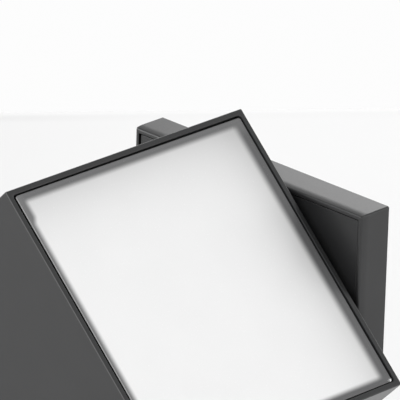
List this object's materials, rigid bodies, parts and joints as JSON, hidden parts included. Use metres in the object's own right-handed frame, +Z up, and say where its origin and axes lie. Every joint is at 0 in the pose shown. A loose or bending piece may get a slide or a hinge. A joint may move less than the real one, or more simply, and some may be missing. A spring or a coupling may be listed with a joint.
{
  "type": "wall lantern",
  "caption": "Swivelling outdoor wall lantern: square wall box with a recessed cover and a cube-shaped lamp head lit through one opal face, turning about the axis that points out of the wall.",
  "frame": {"origin": "centre of the wall bracket's back face, on the wall", "axes": "+Y into the wall along the head's swivel axis, +Z up, +X to the right as seen from the front"},
  "size_m": [0.1572, 0.1293, 0.1572],
  "materials": {
    "powder_coat": "fine satin powder coat, anthracite",
    "opal_diffuser": "opal acrylic, satin gloss",
    "zinc_steel": "zinc plated",
    "stainless": "plain stainless steel",
    "bare_aluminium": "rolled sheet",
    "brass": "plain brass",
    "black_rubber": "matt rubber",
    "foam": "closed-cell foam rubber",
    "grey_silicone": "silicone rubber",
    "white_plastic": "moulded, satin",
    "led_board": "white solder mask on aluminium",
    "thermal_pad": "soft silicone pad",
    "driver_plastic": "moulded, fine texture",
    "terminal_plastic": "moulded polyamide",
    "black_acetal": "turned acetal",
    "brown_insulation": "extruded insulation",
    "blue_insulation": "extruded insulation",
    "earth_insulation": "green and yellow insulation",
    "red_insulation": "extruded insulation",
    "black_insulation": "extruded insulation"
  },
  "bodies": {
    "wall_box": {"wall_bracket": "zinc_steel", "wall_gasket": "foam", "wall_box_frame": "powder_coat", "front_cover": "powder_coat", "cover_gasket": "black_rubber", "cover_screw_1": "stainless", "cover_screw_2": "stainless", "cover_screw_3": "stainless", "cover_screw_4": "stainless", "side_set_screw_left": "stainless", "side_set_screw_right": "stainless", "terminal_block": "terminal_plastic", "terminal_screw_live": "brass", "terminal_screw_neutral": "brass", "terminal_screw_earth": "brass", "terminal_block_screw": "zinc_steel", "live_core": "brown_insulation", "neutral_core": "blue_insulation", "earth_core": "earth_insulation", "base_earth_screw": "brass", "base_earth_wire": "earth_insulation", "pivot_bush": "black_acetal"},
    "head": {"spring_washer": "stainless", "stop_washer": "zinc_steel", "pivot_lock_nut": "zinc_steel", "pivot_tube": "zinc_steel", "swivel_disc": "black_acetal", "swivel_o_ring": "black_rubber", "pivot_head_washer": "stainless", "pivot_head_nut": "zinc_steel", "head_housing": "powder_coat", "diffuser": "opal_diffuser", "diffuser_gasket": "grey_silicone", "reflector_frame": "white_plastic", "led_board": "led_board", "thermal_pad": "thermal_pad", "heat_sink_plate": "bare_aluminium", "led_board_screw_1": "stainless", "led_board_screw_2": "stainless", "led_board_screw_3": "stainless", "led_board_screw_4": "stainless", "heat_sink_screw_1": "stainless", "heat_sink_screw_2": "stainless", "heat_sink_screw_3": "stainless", "heat_sink_screw_4": "stainless", "led_driver": "driver_plastic", "driver_screw_1": "stainless", "driver_screw_2": "stainless", "swivel_cable": "black_insulation", "driver_live_wire": "brown_insulation", "driver_neutral_wire": "blue_insulation", "housing_earth_wire": "earth_insulation", "housing_earth_screw": "brass", "led_lead_positive": "red_insulation", "led_lead_negative": "black_insulation"}
  },
  "joints": [
    {"name": "head_swivel", "type": "hinge", "parent": "wall_box", "child": "head", "pos_m": [0, 0, 0], "axis": [0, 1, 0], "range_deg": [-196, 138]}
  ]
}
